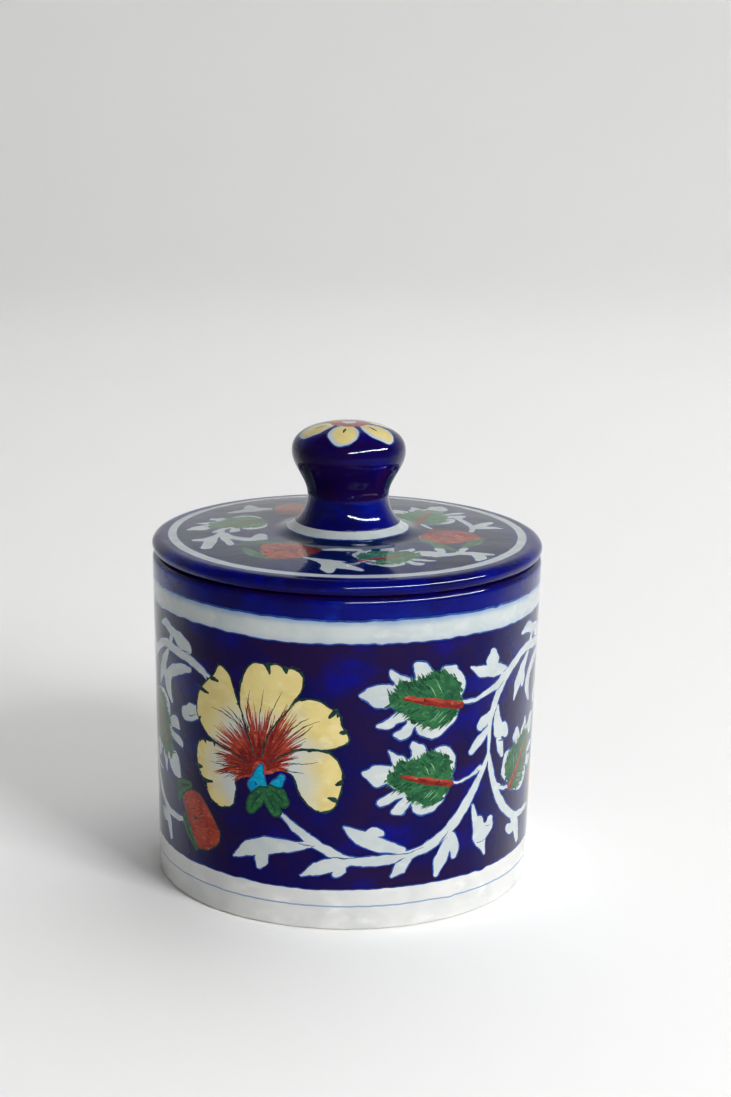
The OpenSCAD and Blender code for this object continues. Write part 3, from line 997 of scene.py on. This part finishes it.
def make_jar_base():
    pot = Pot()
    low = [complex(0, RECESS_Z)] + line_to(complex(1, RECESS_Z), complex(BASE_R - 0.3, RECESS_Z), 3)
    side = arc(complex(BASE_R - 0.3, RECESS_Z + 0.3), 0.3, 0.3, -90, 0, 3)
    top = []
    for p in line_to(complex(BASE_R, FLOOR_Z), complex(0, FLOOR_Z), 0.8):
        ripple = 0.10 * (1 - cos(p.real * 1.15)) * smooth(BASE_R - p.real, 0, 4)
        top.append(p - 1j * ripple)
    pot.turn(low + side + top + [complex(0, FLOOR_Z)], 180,
             [PASTE] * (len(low) + len(side) - 1) + [PALE] * (len(top) + 1))
    pot.finish("glazed_jar_base", "jar", "jar_base")


def make_lid_disc():
    pot = Pot()
    sheet = paint_lid()
    grid = [p for p in lattice(2 * FLAT_R, 2 * FLAT_R, 1.35) if BOSS_R + 0.5 < abs(p) < FLAT_R - 0.5]
    for radius in np.arange(BOSS_R + 0.4, TOP_FOOT_R, 0.45):
        grid += circle(float(radius), 150)

    def inside(c):
        return (np.abs(c) < FLAT_R) & (np.abs(c) > BOSS_R)

    rims = [circle(FLAT_R), circle(BOSS_R, 160)]
    pot.wrap(sheet, *inlay(sheet, rims, grid, inside))
    middle = LID_Z + EDGE_H / 2
    low = [complex(0, LID_Z)] + line_to(complex(1, LID_Z), complex(LID_R - EDGE_UNDER - 0.4, LID_Z), 3)
    under = arc(complex(LID_R - EDGE_UNDER, middle), EDGE_UNDER, EDGE_H / 2, -85, 0, 9)
    over = arc(complex(LID_R - EDGE_OVER, middle), EDGE_OVER, EDGE_H / 2, 9, 85, 9)
    end = complex(FLAT_R, lid_height(FLAT_R))
    profile = low + under + over + [end]
    # Under the lid: bare paste, then the darker ground cobalt on the lower roll of the edge as painted
    # shade of the gap over the rim, then rim cobalt.
    paints = [PASTE] * (len(low) - 3) + [COBALT] * 10 + [RIMBLUE] * (len(profile) - len(low) - 8)
    pot.turn(profile, SPOKES, paints)
    pot.turn([complex(BOSS_R, BOSS_Z), complex(BOSS_R * 0.6, BOSS_Z), complex(0, BOSS_Z)], 160, PASTE)
    pot.finish("painted_lid_disc", "lid", "lid_disc")


def make_locating_ring():
    pot = Pot()
    low_in = complex(RING_R - RING_W + RING_ROUND, RING_Z + RING_ROUND)
    low_out = complex(RING_R - RING_ROUND, RING_Z + RING_ROUND)
    inside = line_to(complex(RING_R - RING_W, LID_Z), low_in - RING_ROUND, 1.2)
    outside = line_to(low_out + RING_ROUND, complex(RING_R, LID_Z), 1.2)[1:]
    profile = inside + arc(low_in, RING_ROUND, RING_ROUND, 180, 270, 5) + arc(
        low_out, RING_ROUND, RING_ROUND, 270, 360, 5) + outside + [complex(RING_R, LID_Z)]
    pot.turn(profile + line_to(complex(RING_R - 0.05, LID_Z), complex(RING_R - RING_W, LID_Z), 1.2)
             + [complex(RING_R - RING_W, LID_Z)], 240, PASTE)
    pot.finish("lid_locating_ring_paste", "lid", "lid_locating_ring")


def make_knob():
    pot = Pot()
    sheet = paint_knob()
    grid = [p for p in lattice(2 * CROWN_REACH, 2 * CROWN_REACH, 0.8) if abs(p) < CROWN_REACH - 0.3]

    def inside(c):
        return np.abs(c) < CROWN_REACH

    pot.wrap(sheet, *inlay(sheet, [circle(CROWN_REACH, 160)], grid, inside))
    side = [complex(r, z) for r, z in zip(KNOB_RADII, KNOB_HEIGHTS)][:CROWN_STEPS:-1]
    side.append(complex(KNOB_R, WIDE_Z))
    paints = [RIMBLUE] * (BOSS_STEPS + 2) + [COBALT] * NECK_STEPS
    pot.turn([complex(0, BOSS_Z), complex(BOSS_R - 0.05, BOSS_Z)] + side, 160, paints)
    pot.finish("painted_lid_knob", "lid", "lid_knob")


make_jar_wall()
make_jar_base()
make_lid_disc()
make_locating_ring()
make_knob()

# ---------------- floor, light and camera


def matte(name, colour):
    """Very slightly mottled paper."""
    nodes = Nodes(name)
    mottled = nodes.mix(nodes.clouds(0.4, 2.0), colour, [c * 0.97 for c in colour])
    nodes.feed(nodes.shader, {"Base Color": mottled, "Roughness": 0.7})
    return nodes.material


def make_sweep():
    """A round pale paper floor that turns up into a wall all round the jar."""
    flat, bend, height, spokes = 1.25, 0.9, 2.6, 96
    side = [(0.02, 0.0), (0.5, 0.0), (flat, 0.0)]
    for k in range(1, 17):
        turn = pi / 2 * k / 16
        side.append((flat + bend * sin(turn), bend - bend * cos(turn)))
    side.append((flat + bend, height))
    ways = [2 * pi * k / spokes for k in range(spokes)]
    points = [(r * cos(a), r * sin(a), z) for r, z in side for a in ways]
    faces = [tuple(range(spokes))]
    for j in range(len(side) - 1):
        for k in range(spokes):
            after = (k + 1) % spokes
            low, high = j * spokes, (j + 1) * spokes
            faces.append((low + k, high + k, high + after, low + after))
    mesh = bpy.data.meshes.new("paper_sweep")
    mesh.from_pydata(points, [], faces)
    mesh.polygons.foreach_set("use_smooth", [True] * len(faces))
    mesh.materials.append(matte("pale_paper", (0.84, 0.84, 0.835)))
    sweep = bpy.data.objects.new("paper_sweep", mesh)
    bpy.context.collection.objects.link(sweep)


def make_light(name, place, target, size, power, mirrored=False):
    """An area light. A mirrored one only shows as a highlight; the others only light the surfaces."""
    data = bpy.data.lights.new(name, "AREA")
    data.shape = "RECTANGLE"
    data.size, data.size_y = size
    data.energy = power
    light = bpy.data.objects.new(name, data)
    light.location = place
    light.rotation_euler = (Vector(target) - Vector(place)).to_track_quat("-Z", "Y").to_euler()
    light.visible_glossy = mirrored
    light.visible_diffuse = not mirrored
    light.visible_camera = False
    bpy.context.collection.objects.link(light)


def make_camera():
    """A camera 0.56 m in front of the jar, above its knob, tilted down and very slightly rolled."""
    distance, height = 0.55884, 0.22104
    yaw, pitch, roll = 0.00839, 0.2393, 0.01732
    forward = Vector((sin(yaw) * cos(pitch), cos(yaw) * cos(pitch), -sin(pitch)))
    right = Vector((cos(yaw), -sin(yaw), 0))
    up = right.cross(forward)
    rolled_right = right * cos(roll) + up * sin(roll)
    rolled_up = up * cos(roll) - right * sin(roll)
    data = bpy.data.cameras.new("camera")
    data.lens = 73.36
    data.sensor_width = 36
    camera = bpy.data.objects.new("camera", data)
    rows = Matrix((rolled_right, rolled_up, -forward)).transposed().to_4x4()
    camera.matrix_world = Matrix.Translation((0, -distance, height)) @ rows
    bpy.context.collection.objects.link(camera)
    bpy.context.scene.camera = camera


make_sweep()
middle = (0, 0, 0.06)
make_light("window", (0.74, -0.82, 0.62), middle, (0.45, 0.65), 13.5)
make_light("strip", (0.66, -0.62, 0.80), middle, (1.9, 0.09), 180, mirrored=True)
make_light("soft_top", (0.45, 0.72, 1.2), (0.25, 0.66, 0), (1.5, 1.2), 12.8)
make_camera()

world = bpy.data.worlds.new("studio")
world.use_nodes = True
world.node_tree.nodes["Background"].inputs["Color"].default_value = (0.97, 0.98, 1.0, 1)
world.node_tree.nodes["Background"].inputs["Strength"].default_value = 0.05
bpy.context.scene.world = world
bpy.context.scene.view_settings.view_transform = "Standard"
